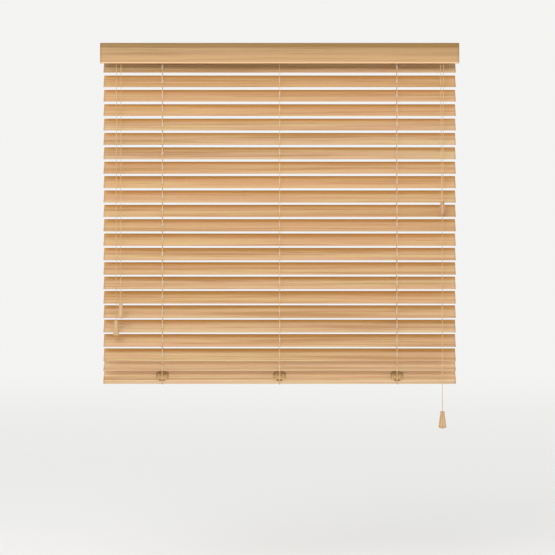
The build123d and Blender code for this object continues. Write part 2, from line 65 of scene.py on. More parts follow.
LAST_FIXED_SLAT = 10  # the slats below it gather when the rail is raised
LAST_EVEN_SLAT = 20
FIRST_SLAT_Z = -68.6 * MM
LAST_SLAT_Z = -961.5 * MM
SLAT_TILT = math.radians(47)
END_TILT = math.radians(34)
RAIL_Z = -996.0 * MM
HALF_SLAT_LENGTH = 525 * MM
HALF_VALANCE_LENGTH = 533.5 * MM
LADDER_X = (-350 * MM, 0.0, 350 * MM)
LIFT_X = (-350 * MM, 350 * MM)
LADDER_REACH = 27 * MM
EXIT_Z = -46 * MM

log = logging.getLogger("blind")

Colour = tuple[float, float, float]


# ---------------------------------------------------------------- surfaces


@dataclass
class Surface:
    """A grid of points, rows by columns, that becomes a skin of quads."""

    points: np.ndarray
    ring: bool = True  # the last column joins the first

    def quads(self) -> np.ndarray:
        """Corner indices of each quad, wound so that the skin faces outwards.

        Returns:
            An array of four indices for each quad.
        """
        rows, columns = self.points.shape[:2]
        index = np.arange(rows * columns).reshape(rows, columns)
        if self.ring:
            index = np.concatenate([index, index[:, :1]], axis=1)
        corners = (index[:-1, :-1], index[:-1, 1:], index[1:, 1:], index[1:, :-1])
        return np.stack(corners, axis=-1).reshape(-1, 4)


def build_mesh(name: str, surfaces: list[Surface], sharp: float = 40.0) -> bpy.types.Object:
    """Puts surfaces into one mesh object at the origin and merges the points at their poles.

    Args:
        name: Name of the piece.
        surfaces: The skins that the piece is made of.
        sharp: Edges that turn by more than this many degrees stay crisp.

    Returns:
        The new object.
    """
    counts = np.cumsum([0] + [s.points.shape[0] * s.points.shape[1] for s in surfaces])
    corners = np.concatenate([s.quads() + start for s, start in zip(surfaces, counts)])
    places = np.concatenate([s.points.reshape(-1, 3) for s in surfaces])
    mesh = bpy.data.meshes.new(name)
    mesh.vertices.add(len(places))
    mesh.vertices.foreach_set("co", places.astype(np.float32).ravel())
    mesh.loops.add(corners.size)
    mesh.loops.foreach_set("vertex_index", corners.astype(np.int32).ravel())
    mesh.polygons.add(len(corners))
    mesh.polygons.foreach_set("loop_start", np.arange(0, corners.size, 4, dtype=np.int32))
    mesh.update(calc_edges=True)
    work = bmesh.new()
    work.from_mesh(mesh)
    bmesh.ops.remove_doubles(work, verts=work.verts, dist=2e-6)
    work.to_mesh(mesh)
    work.free()
    mesh.polygons.foreach_set("use_smooth", np.ones(len(mesh.polygons), dtype=bool))
    mesh.set_sharp_from_angle(angle=math.radians(sharp))
    mesh.update()
    piece = bpy.data.objects.new(name, mesh)
    bpy.context.scene.collection.objects.link(piece)
    return piece


def arc_lengths(path: np.ndarray) -> np.ndarray:
    """Distance along a path at each of its points."""
    return np.concatenate([[0.0], np.cumsum(np.linalg.norm(np.diff(path, axis=0), axis=1))])


def resample(path: np.ndarray, step: float) -> np.ndarray:
    """Points along a path, an even step apart.

    Args:
        path: Points of the path.
        step: Distance wanted between neighbours.

    Returns:
        The new points, with both ends kept.
    """
    along = arc_lengths(path)
    wanted = np.linspace(0, along[-1], max(3, int(along[-1] / step) + 1))
    return np.stack([np.interp(wanted, along, path[:, axis]) for axis in range(3)], axis=1)


def nurbs_route(points: list[tuple[float, float, float]], resolution: int = 60) -> np.ndarray:
    """Points of the smooth NURBS line that a route's control points make.

    Args:
        points: Control points in millimetres.
        resolution: Points that the line gets for each control point.

    Returns:
        The line's points in metres.
    """
    curve = bpy.data.curves.new("route", "CURVE")
    curve.dimensions = "3D"
    curve.resolution_u = resolution
    spline = curve.splines.new("NURBS")
    spline.points.add(len(points) - 1)
    weighted = np.concatenate([np.array(points, float) * MM, np.ones((len(points), 1))], axis=1)
    spline.points.foreach_set("co", weighted.astype(np.float32).ravel())
    spline.order_u = 3
    spline.use_endpoint_u = True
    spline.resolution_u = resolution
    holder = bpy.data.objects.new("route", curve)
    line = bpy.data.meshes.new_from_object(holder)
    places = np.empty(len(line.vertices) * 3, dtype=np.float32)
    line.vertices.foreach_get("co", places)
    bpy.data.objects.remove(holder)
    bpy.data.curves.remove(curve)
    bpy.data.meshes.remove(line)
    return places.reshape(-1, 3).astype(float)


def laid_cord(
    path: np.ndarray,
    radius: float | np.ndarray,
    lay: float,
    strands: int = 3,
    groove: float = 0.2,
    facets: int = 2,
    side: tuple[float, float, float] = (1, 0, 0),
) -> Surface:
    """A twisted cord's skin along a path.

    Formula: each point of the path carries a ring whose radius falls from a crest to a valley
    once for each strand, and the ring turns once for each length of lay.

    Args:
        path: Points of the middle line.
        radius: Radius at the crests, one number or one for each point.
        lay: Length in which a strand goes once round.
        strands: Number of strands.
        groove: How much smaller the valleys are, as a share of the radius.
        facets: Columns for each strand.
        side: A direction that the path never runs along.

    Returns:
        A closed tube.
    """
    run = np.gradient(path, axis=0)
    run /= np.linalg.norm(run, axis=1)[:, None]
    across = np.array(side, float) - (run @ np.array(side, float))[:, None] * run
    across /= np.linalg.norm(across, axis=1)[:, None]
    up = np.cross(run, across)
    columns = np.arange(strands * facets)
    turn = 2 * np.pi * columns / columns.size + (2 * np.pi * arc_lengths(path) / lay)[:, None]
    shape = 1 - groove * (0.5 - 0.5 * np.cos(2 * np.pi * columns / facets))
    reach = (np.ones(len(path)) * radius)[:, None] * shape[None, :]
    skin = (
        path[:, None, :]
        + (reach * np.cos(turn))[..., None] * across[:, None, :]
        + (reach * np.sin(turn))[..., None] * up[:, None, :]
    )
    ends = [np.repeat(path[i][None, None, :], columns.size, axis=1) for i in (0, -1)]
    return Surface(np.concatenate([ends[0], skin, ends[1]]))


def turned(
    profile: tuple[tuple[float, float], ...],
    top: tuple[float, float, float],
    facets: int = 40,
    smooth: int = 4,
) -> Surface:
    """A turned piece hanging from a point.

    Formula: the outline, of radius against distance below the top, is drawn with short
    straight-line steps between its corners and carried once round the vertical axis.

    Args:
        profile: Corners of the outline in millimetres, from the lower pole to the upper one.
        top: The point that the piece hangs from, in millimetres.
        facets: Columns round the axis.
        smooth: Steps between two corners.

    Returns:
        A closed skin.
    """
    corners = np.array(profile, float) * MM
    marks = np.arange(len(corners))
    dense = np.linspace(0, marks[-1], marks[-1] * smooth + 1)
    radius = np.interp(dense, marks, corners[:, 0])
    below = np.interp(dense, marks, corners[:, 1])
    turn = 2 * np.pi * np.arange(facets) / facets
    origin = np.array(top, float) * MM
    skin = np.stack(
        [
            origin[0] + radius[:, None] * np.cos(turn)[None, :],
            origin[1] + radius[:, None] * np.sin(turn)[None, :],
            np.repeat((origin[2] - below)[:, None], facets, axis=1),
        ],
        axis=-1,
    )
    return Surface(skin)


def board_point(along: np.ndarray, width: np.ndarray, height: np.ndarray,
                tilt: float, middle_z: float) -> np.ndarray:
    """Places points given on a tilted board.

    Formula: width is measured towards the rear edge and height off the upper face, both from
    the board's middle, and the pair is turned by the tilt about X.

    Args:
        along: Distance along X.
        width: Distance towards the rear edge.
        height: Distance off the middle plane, upwards.
        tilt: How far the front edge hangs down, in radians.
        middle_z: Height of the board's middle.

    Returns:
        Points in the frame.
    """
    along, width, height = np.broadcast_arrays(along, width, height)
    return np.stack(
        [
            along,
            width * math.cos(tilt) - height * math.sin(tilt),
            middle_z + width * math.sin(tilt) + height * math.cos(tilt),
        ],
        axis=-1,
    )


# ---------------------------------------------------------------- shader wiring


class Graph:
    """A node tree that is being wired."""

    def __init__(self, tree: bpy.types.NodeTree) -> None:
        """Keeps the tree to wire."""
        self.tree = tree

    def add(self, kind: str, values: dict | None = None, **settings) -> bpy.types.Node:
        """Adds a node, sets what it is given and links the sockets among the values.

        Args:
            kind: The node's type name, without the leading ShaderNode.
            values: A socket or a plain value for each named or numbered input.
            **settings: Properties of the node itself.

        Returns:
            The new node.
        """
        prefix = "" if kind.startswith("Node") else "ShaderNode"
        node = self.tree.nodes.new(prefix + kind)
        for name, value in settings.items():
            setattr(node, name, value)
        self.feed(node, values or {})
        return node

    def feed(self, node: bpy.types.Node, values: dict) -> None:
        """Links the sockets among the values to a node's inputs and sets the rest."""
        for name, value in values.items():
            if isinstance(value, bpy.types.NodeSocket):
                self.tree.links.new(value, node.inputs[name])
            else:
                node.inputs[name].default_value = value

    def maths(self, operation: str, *terms) -> bpy.types.NodeSocket:
        """Result of a Math node with these terms."""
        values = dict(enumerate(terms))
        return self.add("Math", values, operation=operation).outputs[0]

    def mix(self, share, first, second, blend: str = "MIX") -> bpy.types.NodeSocket:
        """Colour that goes from first to second as the share goes from 0 to 1."""
        values = {0: share, 6: opaque(first), 7: opaque(second)}
        node = self.add("Mix", values, data_type="RGBA", blend_type=blend)
        return node.outputs[2]

    def step(self, value, low: float, high: float, to_low: float = 0.0, to_high: float = 1.0):
        """Value eased from to_low to to_high while it goes from low to high."""
        values = {0: value, 1: low, 2: high, 3: to_low, 4: to_high}
        return self.add("MapRange", values, interpolation_type="SMOOTHSTEP").outputs[0]

    def noise(self, vector, scale: Colour, detail: float, rough: float = 0.5):
        """Noise on a vector stretched by a scale on each axis."""
        stretched = self.add("VectorMath", {0: vector, 1: scale}, operation="MULTIPLY")
        values = {"Vector": stretched.outputs[0], "Scale": 1.0, "Detail": detail,
                  "Roughness": rough}
        return self.add("TexNoise", values).outputs[0]


def start_material(name: str) -> tuple[bpy.types.Material, Graph]:
    """A new material with its shader, and its graph."""
    made = bpy.data.materials.new(name)
    made.use_nodes = True
    return made, Graph(made.node_tree)


def finish_shader(graph: Graph, bump: dict, inputs: dict) -> None:
    """Gives a material's shader its bump and its other inputs, linked or plain."""
    relief = graph.add("Bump", bump)
    shader = graph.tree.nodes["Principled BSDF"]
    graph.feed(shader, {"Normal": relief.outputs[0], **inputs})


def opaque(colour):
    """A colour with full opacity, or the socket that it came as."""
    if isinstance(colour, bpy.types.NodeSocket) or len(colour) == 4:
        return colour
    return (*colour, 1.0)


def tone(red: int, green: int, blue: int) -> Colour:
    """Linear colour of three display values from 0 to 255."""
    parts = np.array([red, green, blue]) / 255
    return tuple(np.where(parts <= 0.04045, parts / 12.92, ((parts + 0.055) / 1.055) ** 2.4))


def shader_group(name: str, inputs: dict[str, str], outputs: dict[str, str]):
    """Starts a shared effect.

    Args:
        name: Name of the group.
        inputs: Socket type for each input.
        outputs: Socket type for each output.

    Returns:
        The group's tree, its graph, its input node and its output node.
    """
    tree = bpy.data.node_groups.new(name, "ShaderNodeTree")
    for side, sockets in (("INPUT", inputs), ("OUTPUT", outputs)):
        for socket, kind in sockets.items():
            tree.interface.new_socket(name=socket, in_out=side, socket_type=f"NodeSocket{kind}")
    graph = Graph(tree)
    return tree, graph, graph.add("NodeGroupInput"), graph.add("NodeGroupOutput")


def wood_grain_group() -> bpy.types.NodeTree:
    """Grain that runs along the vector's X: broad bands, streaks and short pores.

    Returns:
        A group that puts out a colour, a roughness and a height.
    """
    tree, graph, given, result = shader_group(
        "Wood grain",
        {"Vector": "Vector", "Seed": "Float", "Pale": "Color", "Rosy": "Color", "Deep": "Color",
         "Contrast": "Float"},
        {"Colour": "Color", "Roughness": "Float", "Height": "Float"},
    )
    shift = graph.add("CombineXYZ", {
        0: graph.maths("MULTIPLY", given.outputs["Seed"], 7.31),
        1: graph.maths("MULTIPLY", given.outputs["Seed"], 3.17),
        2: graph.maths("MULTIPLY", given.outputs["Seed"], 5.73),
    })
    place = graph.add("VectorMath", {0: given.outputs["Vector"], 1: shift.outputs[0]})
    wave = graph.noise(place.outputs[0], (2.4, 9.0, 9.0), 1.0)
    bend = graph.maths("MULTIPLY_ADD", wave, 0.005, -0.0025)
    bent = graph.add("VectorMath", {
        0: place.outputs[0], 1: graph.add("CombineXYZ", {1: bend}).outputs[0]})
    vector = bent.outputs[0]
    bands = graph.noise(vector, (1.1, 60.0, 60.0), 2.0)
    streaks = graph.noise(vector, (2.4, 210.0, 210.0), 5.0, 0.62)
    threads = graph.noise(vector, (11.0, 720.0, 720.0), 3.0, 0.6)
    pores = graph.step(graph.noise(vector, (60.0, 1900.0, 1900.0), 1.0), 0.60, 0.74)
    hue = graph.noise(vector, (1.6, 120.0, 120.0), 3.0, 0.6)
    figure = graph.maths("MULTIPLY_ADD", streaks, 0.46, graph.maths("MULTIPLY", bands, 0.4))
    figure = graph.maths("MULTIPLY_ADD", threads, 0.14, figure)
    ground = graph.mix(graph.step(hue, 0.38, 0.62), given.outputs["Pale"], given.outputs["Rosy"])
    dark = graph.maths("MULTIPLY", graph.step(figure, 0.53, 0.40), given.outputs["Contrast"])
    colour = graph.mix(dark, ground, given.outputs["Deep"])
    lines = graph.maths("MULTIPLY", graph.step(streaks, 0.42, 0.33), 0.4)
    colour = graph.mix(lines, colour, given.outputs["Deep"])
    colour = graph.mix(graph.maths("MULTIPLY", pores, 0.3), colour, given.outputs["Deep"])
    graph.feed(result, {
        "Colour": colour,
        "Roughness": graph.step(figure, 0.38, 0.62, 0.50, 0.36),
        "Height": graph.maths("SUBTRACT", figure, graph.maths("MULTIPLY", pores, 0.4)),
    })
    return tree


def fine_wear_group() -> bpy.types.NodeTree:
    """Faint clouds and specks for painted, moulded and bare surfaces.

    Returns:
        A group that puts out a colour, a roughness and a height.
    """
    tree, graph, given, result = shader_group(
        "Fine wear",
        {"Vector": "Vector", "Base": "Color", "Soiled": "Color", "Amount": "Float",
         "Gloss": "Float", "Pitch": "Float"},
        {"Colour": "Color", "Roughness": "Float", "Height": "Float"},
    )
    vector = given.outputs["Vector"]
    clouds = graph.noise(vector, (14.0, 22.0, 22.0), 4.0, 0.6)
    specks = graph.step(graph.noise(vector, (420.0, 420.0, 420.0), 2.0), 0.63, 0.76)
    share = graph.maths("MULTIPLY", graph.step(clouds, 0.35, 0.7), given.outputs["Amount"])
    share = graph.maths("MULTIPLY_ADD", specks, 0.12, share)
    fine = graph.add("VectorMath", {0: vector, "Scale": given.outputs["Pitch"]}, operation="SCALE")
    peel = graph.noise(fine.outputs[0], (1.0, 1.0, 1.0), 2.0)
    graph.feed(result, {
        "Colour": graph.mix(share, given.outputs["Base"], given.outputs["Soiled"]),
        "Roughness": graph.maths("MULTIPLY_ADD", clouds, 0.12, given.outputs["Gloss"]),
        "Height": peel,
    })
    return tree


class Board(Enum):
    """How a wooden piece lies, and so where its grain and edges run."""

    SLATS = "slats"
    LAST_SLAT = "last slat"
    RAIL = "rail"
    VALANCE = "valance"
    UPRIGHT = "upright"


@dataclass(frozen=True)
class ToneBand:
    """A colour that sets in between two places on one of a board's axes."""

    axis: int
    start: float  # in millimetres from the board's middle, where there is none of it
    full: float  # where there is most of it
    share: float
    colour: Colour
    upper: bool = False  # on the upper face only


# painted light: brightens the rear of the upper face, where the board above shades it
PAINTED_REAR_LIGHT = ToneBand(1, -18.0, 12.0, 0.85, tone(250, 214, 168), upper=True)
FRONT_EDGE = ToneBand(1, -22.5, -24.6, 0.3, tone(176, 144, 112))
# painted light: a warm glow of light bounced between the slats, on the rear of the upper face
PAINTED_AMBER_GLOW = ToneBand(1, 7.0, 20.0, 0.7, tone(220, 158, 62), upper=True)
# painted shade: dark along the rear edge of the upper face, under the slat above
PAINTED_REAR_SHADE = ToneBand(1, 21.0, 24.4, 0.75, tone(118, 74, 16), upper=True)
# The bands that each board gets. All but FRONT_EDGE are painted light and shade.
BOARD_BANDS = {
    Board.SLATS: (FRONT_EDGE, PAINTED_AMBER_GLOW, PAINTED_REAR_SHADE),
    Board.LAST_SLAT: (PAINTED_REAR_LIGHT, FRONT_EDGE, replace(PAINTED_AMBER_GLOW, share=0.15), PAINTED_REAR_SHADE),
    # the rail: painted light on the rear of its upper face and a painted highlight along its front
    # edge
    Board.RAIL: (PAINTED_REAR_LIGHT, ToneBand(1, -21.5, -24.5, 0.3, tone(226, 194, 152))),
    Board.VALANCE: (
        # the valance: painted light, growing lighter towards the bottom of the face
        ToneBand(2, 12.0, -26.0, 0.6, tone(192, 154, 108)),
        # painted shadow along the top of the face
        ToneBand(2, 14.5, 17.0, 0.75, tone(124, 90, 22)),
        # painted highlight along the lower rounded edge
        ToneBand(2, -25.5, -27.5, 0.7, tone(238, 204, 160)),
    ),
}


@dataclass(frozen=True)
class WoodFinish:
    """Clear lacquer over honey-coloured wood, with painted light and shade on some boards."""

    board: Board
    seed: float = 0.0
    pale: Colour = tone(205, 179, 134)
    rosy: Colour = tone(199, 160, 127)
    deep: Colour = tone(161, 121, 73)
    end: Colour = tone(150, 110, 68)
    contrast: float = 0.7

    def board_vector(self, graph: Graph) -> tuple[bpy.types.NodeSocket, object]:
        """Coordinates along, across and through the board, and the seed of its grain.

        Args:
            graph: The material's graph.

        Returns:
            The vector and the seed.
        """
        place = graph.add("TexCoord").outputs["Object"]
        turned_by = {Board.SLATS: SLAT_TILT, Board.LAST_SLAT: END_TILT, Board.RAIL: END_TILT}
        tilt = turned_by.get(self.board, 0.0)
        if self.board is Board.UPRIGHT:
            node = graph.add("Mapping", {"Vector": place, "Rotation": (0, math.pi / 2, 0)})
            return node.outputs[0], self.seed
        seed: object = self.seed
        if self.board is Board.SLATS:
            parts = graph.add("SeparateXYZ", {0: place})
            top = FIRST_SLAT_Z + SLAT_PITCH / 2
            number = graph.maths("FLOOR", graph.maths(
                "DIVIDE", graph.maths("SUBTRACT", top, parts.outputs[2]), SLAT_PITCH))
            chance = graph.add("TexWhiteNoise", {"W": number}, noise_dimensions="1D")
            seed = graph.maths("MULTIPLY_ADD", chance.outputs["Value"], 5.0, self.seed)
            local = graph.maths("MULTIPLY_ADD", number, SLAT_PITCH, parts.outputs[2])
            local = graph.maths("SUBTRACT", local, FIRST_SLAT_Z)
            place = graph.add("CombineXYZ", {
                0: parts.outputs[0], 1: parts.outputs[1], 2: local}).outputs[0]
        else:
            drop = {Board.LAST_SLAT: LAST_SLAT_Z, Board.RAIL: RAIL_Z}.get(self.board, -31 * MM)
            place = graph.add("VectorMath", {0: place, 1: (0, 0, -drop)}).outputs[0]
        node = graph.add("Mapping", {"Vector": place, "Rotation": (-tilt, 0, 0)})
        return node.outputs[0], seed

    def material(self, name: str) -> bpy.types.Material:
        """Makes the material.

        Args:
            name: Name of the material.

        Returns:
            The new material.
        """
        made, graph = start_material(name)
        vector, seed = self.board_vector(graph)
        grain = graph.add("Group", {
            "Vector": vector, "Seed": seed, "Contrast": self.contrast, "Pale": opaque(self.pale),
            "Rosy": opaque(self.rosy), "Deep": opaque(self.deep),
        }, node_tree=bpy.data.node_groups["Wood grain"])
        colour = grain.outputs["Colour"]
        if self.board is Board.SLATS:
            chance = graph.add("TexWhiteNoise", {"W": seed}, noise_dimensions="1D")
            ripe = graph.maths("MULTIPLY", chance.outputs["Value"], 0.28)
            colour = graph.mix(ripe, colour, tone(204, 146, 84))
        finish_shader(
            graph,
            {"Height": grain.outputs["Height"], "Strength": 0.22, "Distance": 0.0004},
            {"Base Color": self.edges(graph, vector, colour),
             "Roughness": grain.outputs["Roughness"], "Specular IOR Level": 0.35,
             "Coat Weight": 0.1, "Coat Roughness": 0.3},
        )
        return made

    def edges(self, graph: Graph, vector, colour):
        """Paints bands, mostly light and shade, near the long edges; darkens the sawn ends.

        Args:
            graph: The material's graph.
            vector: Coordinates on the board.
            colour: Colour so far.

        Returns:
            The colour with its edges.
        """
        if self.board is Board.UPRIGHT:
            return colour
        parts = graph.add("SeparateXYZ", {0: vector}).outputs
        along = graph.maths("ABSOLUTE", parts[0])
        half = HALF_VALANCE_LENGTH if self.board is Board.VALANCE else HALF_SLAT_LENGTH
        for tone_band in BOARD_BANDS[self.board]:
            share = graph.step(parts[tone_band.axis], tone_band.start * MM, tone_band.full * MM, 0.0,
                               tone_band.share)
            if tone_band.upper:
                upper = graph.step(parts[2], 0.2 * MM, 1.2 * MM)
                share = graph.maths("MULTIPLY", share, upper)
            colour = graph.mix(share, colour, tone_band.colour)
        near_end = graph.step(along, half - 9 * MM, half - 0.5 * MM, 0.0, 0.35)
        colour = graph.mix(near_end, colour, self.deep)
        cut = graph.step(along, half - 0.35 * MM, half - 0.05 * MM)
        rings = graph.noise(vector, (80.0, 260.0, 900.0), 3.0)
        sawn = graph.mix(graph.step(rings, 0.4, 0.6), self.end, self.deep)
        return graph.mix(cut, colour, sawn)


@dataclass(frozen=True)
class CordFinish:
    """Spun cord with a soft, dull surface."""

    base: Colour = tone(238, 202, 150)
    shade: Colour = tone(206, 162, 108)
    beads: bool = False  # pale swellings between the rungs
    painted_hollow_shade: bool = False  # painted shade between the strands on the rail

    def material(self, name: str) -> bpy.types.Material:
        """Makes the material."""
        made, graph = start_material(name)
        place = graph.add("TexCoord").outputs["Object"]
        fibres = graph.noise(place, (1500.0, 1500.0, 500.0), 3.0, 0.65)
        drift = graph.noise(place, (40.0, 40.0, 26.0), 2.0)
        share = graph.maths("MULTIPLY_ADD", drift, 0.35, graph.maths("MULTIPLY", fibres, 0.65))
        colour = graph.mix(graph.step(share, 0.42, 0.62), self.base, self.shade)
        if self.beads:
            height = graph.add("SeparateXYZ", {0: place}).outputs[2]
            phase = graph.maths("PINGPONG", graph.maths(
                "SUBTRACT", height, FIRST_SLAT_Z - 19.75 * MM), SLAT_PITCH / 2)
            pale = graph.step(phase, 13 * MM, 18.5 * MM)
            colour = graph.mix(pale, colour, tone(216, 202, 180))
        if self.painted_hollow_shade:
            colour = self.paint_hollow_shade(graph, place, colour)
        finish_shader(
            graph,
            {"Height": fibres, "Strength": 0.4, "Distance": 0.0002},
            {"Base Color": colour, "Roughness": graph.step(fibres, 0.3, 0.7, 0.78, 0.95),
             "Sheen Weight": 0.25, "Specular IOR Level": 0.3},
        )
        return made

    def paint_hollow_shade(self, graph: Graph, place, colour):
        """Paints shade on what lies near the rail's faces, between the strands.

        Args:
            graph: The material's graph.
            place: Object coordinates.
            colour: Colour so far.

        Returns:
            The colour with its painted shade.
        """
        moved = graph.add("VectorMath", {0: place, 1: (0, 0, -RAIL_Z)}).outputs[0]
        node = graph.add("Mapping", {"Vector": moved, "Rotation": (-END_TILT, 0, 0)})
        parts = graph.add("SeparateXYZ", {0: node.outputs[0]})
        above = graph.maths("SUBTRACT", parts.outputs[2], 7 * MM)
        ahead = graph.maths("SUBTRACT", graph.maths("MULTIPLY", parts.outputs[1], -1.0), 25 * MM)
        hollow_shade_share = graph.step(graph.maths("MAXIMUM", above, ahead), 2.0 * MM, 0.8 * MM)
        # painted shade, darkest within 0.8 mm of the rail
        return graph.mix(hollow_shade_share, colour, tone(128, 92, 48))


@dataclass(frozen=True)
class HardFinish:
    """Painted steel, bare metal or moulded plastic."""

    base: Colour
    soiled: Colour
    gloss: float = 0.35
    amount: float = 0.35
    pitch: float = 900.0
    bump: float = 0.05
    metallic: float = 0.0
    coat: float = 0.0

    def material(self, name: str) -> bpy.types.Material:
        """Makes the material."""
        made, graph = start_material(name)
        wear = graph.add("Group", {
            "Vector": graph.add("TexCoord").outputs["Object"], "Base": opaque(self.base),
            "Soiled": opaque(self.soiled), "Amount": self.amount, "Gloss": self.gloss,
            "Pitch": self.pitch,
        }, node_tree=bpy.data.node_groups["Fine wear"])
        finish_shader(
            graph,
            {"Height": wear.outputs["Height"], "Strength": self.bump, "Distance": 0.0003},
            {"Base Color": wear.outputs["Colour"], "Roughness": wear.outputs["Roughness"],
             "Metallic": self.metallic, "Coat Weight": self.coat},
        )
        return made


def dress(node: str, material: bpy.types.Material) -> None:
    """Gives a CAD node's object a material in each of its slots."""
    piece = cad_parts[node]
    if not piece.material_slots:
        piece.data.materials.append(None)
    for holder in piece.material_slots:
        holder.link = "OBJECT"
        holder.material = material


def finish_piece(piece: bpy.types.Object, material: bpy.types.Material,
                 body: str | None, nodes: tuple[str, ...] = ()) -> bpy.types.Object:
    """Gives a new piece its material, slot, body and the CAD nodes that it stands for.

    Args:
        piece: The new piece.
        material: Its material.
        body: The body that it rides on, or None where it bends between two.
        nodes: CAD nodes that it replaces.

    Returns:
        The same piece.
    """
    piece.data.materials.append(material)
    if nodes:
        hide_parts(*nodes)
    if body is not None:
        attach(piece, body)
    log.info("%s: %d faces on %s", piece.name, len(piece.data.polygons), body)
    return piece


# ---------------------------------------------------------------- studio


@dataclass
class Studio:
    """Camera, lights, floor and backdrop."""

    camera_place: tuple[float, float, float] = (-0.0064, -7.0, -0.6976)
    camera_lens: float = 152.0
    floor_z: float = -1.62
    floor_reach: float = 300.0
    sweep: tuple[float, float] = (1.5, 16.0)  # where the floor fades into the backdrop
    backdrop: Colour = (0.90, 0.90, 0.89)
    aim: tuple[float, float, float] = (0.0, 0.0, -0.55)
    lights: tuple = (
        ("Key light", (-1.3, -4.2, 1.7), (3.0, 1.8), 100.0, (1.0, 0.98, 0.96)),
        ("Fill light", (2.4, -4.4, -0.2), (2.6, 2.6), 26.0, (1.0, 0.99, 0.98)),
        ("Low light", (-0.4, -3.6, -1.45), (2.6, 0.7), 7.0, (1.0, 0.98, 0.96)),
    )

    def build(self) -> None:
        """Makes everything that isn't part of the blind."""
        self.add_camera()
        self.add_lights()
        self.add_floor()
        self.add_backdrop()

    def add_camera(self) -> None:
        """A long lens that looks straight along +Y."""
        data = bpy.data.cameras.new("Camera")
        data.lens = self.camera_lens
        data.sensor_width = 36.0
        data.clip_end = 200.0
        camera = bpy.data.objects.new("Camera", data)
        camera.location = self.camera_place
        camera.rotation_euler = (math.pi / 2, 0, 0)
        bpy.context.scene.collection.objects.link(camera)
        bpy.context.scene.camera = camera
        bpy.context.scene.view_settings.view_transform = "Standard"

    def add_lights(self) -> None:
        """Large soft area lights, each turned towards the blind."""
        for name, place, size, power, colour in self.lights:
            data = bpy.data.lights.new(name, "AREA")
            data.shape = "RECTANGLE"
            data.size, data.size_y = size
            data.energy = power
            data.color = colour
            lamp = bpy.data.objects.new(name, data)
            lamp.location = place
            towards = Vector(self.aim) - Vector(place)
            lamp.rotation_euler = towards.to_track_quat("-Z", "Y").to_euler()
            bpy.context.scene.collection.objects.link(lamp)

    def add_floor(self) -> None:
        """A wide pale floor below the hanging cords."""
        reach = np.array([-self.floor_reach, self.floor_reach])
        across, deep = np.meshgrid(reach, reach)
        points = np.stack([across, deep, np.full((2, 2), self.floor_z)], axis=-1)
        floor = build_mesh("Floor", [Surface(points, ring=False)])
        paint = HardFinish(base=(0.86, 0.86, 0.86), soiled=(0.85, 0.85, 0.85), gloss=0.75,
                           amount=0.1, bump=0.0)
        material = paint.material("Pale floor")
        self.fade(material)
        floor.data.materials.append(material)

    def fade(self, material: bpy.types.Material) -> None:
        """Lets the floor pass into the backdrop's colour with distance, as a studio sweep does.

        Args:
            material: The floor's material.
        """
        graph = Graph(material.node_tree)
        place = graph.add("TexCoord").outputs["Object"]
        away = graph.add("VectorMath", {0: place}, operation="LENGTH").outputs["Value"]
        glow = graph.add("Emission", {"Color": opaque(self.backdrop), "Strength": 1.0})
        shader = material.node_tree.nodes["Principled BSDF"]
        blend = graph.add("MixShader", {
            0: graph.step(away, *self.sweep), 1: shader.outputs[0], 2: glow.outputs[0]})
        graph.feed(material.node_tree.nodes["Material Output"], {"Surface": blend.outputs[0]})

    def add_backdrop(self) -> None:
        """Even pale light from all round."""
        world = bpy.data.worlds.new("Pale room")
        world.use_nodes = True
        background = world.node_tree.nodes["Background"]
        background.inputs["Color"].default_value = opaque(self.backdrop)
        background.inputs["Strength"].default_value = 1.0
        bpy.context.scene.world = world


# ---------------------------------------------------------------- slats and ladders


@dataclass
class Slats:
    """The slats, with their own grain, and the rungs that carry them."""

    rung_radius: float = 0.55 * MM
    rung_spread: float = 2.6 * MM
    slat_half_thickness: float = 1.5 * MM
    rung_rows: int = 9
    rung_pressed: float = 0.35  # share of its thickness between gathered slats

    def build(self, wood: bpy.types.Material, last_wood: bpy.types.Material,
              string: bpy.types.Material) -> None:
        """Dresses the slats and hangs each on its rungs.

        Args:
            wood: Finish of the evenly hung slats, with painted glow and shade.
            last_wood: Finish of the last slat, which hangs flatter, with painted light.
            string: Finish of the rungs.
        """
        for number in range(SLAT_COUNT):
            last = number == SLAT_COUNT - 1
            dress(f"slat_{number:02d}", last_wood if last else wood)
            height = LAST_SLAT_Z if last else FIRST_SLAT_Z - SLAT_PITCH * number
            tilt = END_TILT if last else SLAT_TILT
            rungs = [self.rung(x, side, tilt, height) for x in LADDER_X for side in (-1, 1)]
            piece = build_mesh(f"ladder_rungs_{number:02d}", rungs)
            finish_piece(piece, string, f"slat_{number:02d}")
            if number >= LAST_FIXED_SLAT:
                face = board_point(0.0, 0.0, -self.slat_half_thickness, tilt, height)
                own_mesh(piece)

    def rung(self, x: float, side: int, tilt: float, height: float) -> Surface:
        """One cross cord under a slat.

        Formula: across the slat it lies a radius below the lower face, and over the last
        2.5 mm at each edge it rises in an eased curve to the ladder's string.

        Args:
            x: Place of the ladder.
            side: Which of the two rungs, -1 or 1.
            tilt: Tilt of the slat in radians.
            height: Height of the slat's middle.

        Returns:
            The rung's skin.
        """
        across = LADDER_REACH * np.sin(np.linspace(-np.pi / 2, np.pi / 2, self.rung_rows))
        edge = np.clip((np.abs(across) - 22 * MM) / (LADDER_REACH - 22 * MM), 0, 1) ** 2
        under = -(self.slat_half_thickness + self.rung_radius) * (1 - edge)
        along = x + side * self.rung_spread * (1 - 0.8 * edge)
        path = board_point(along, across, under, tilt, height)
        return laid_cord(path, self.rung_radius, 40 * MM, strands=5, groove=0.0, facets=1)


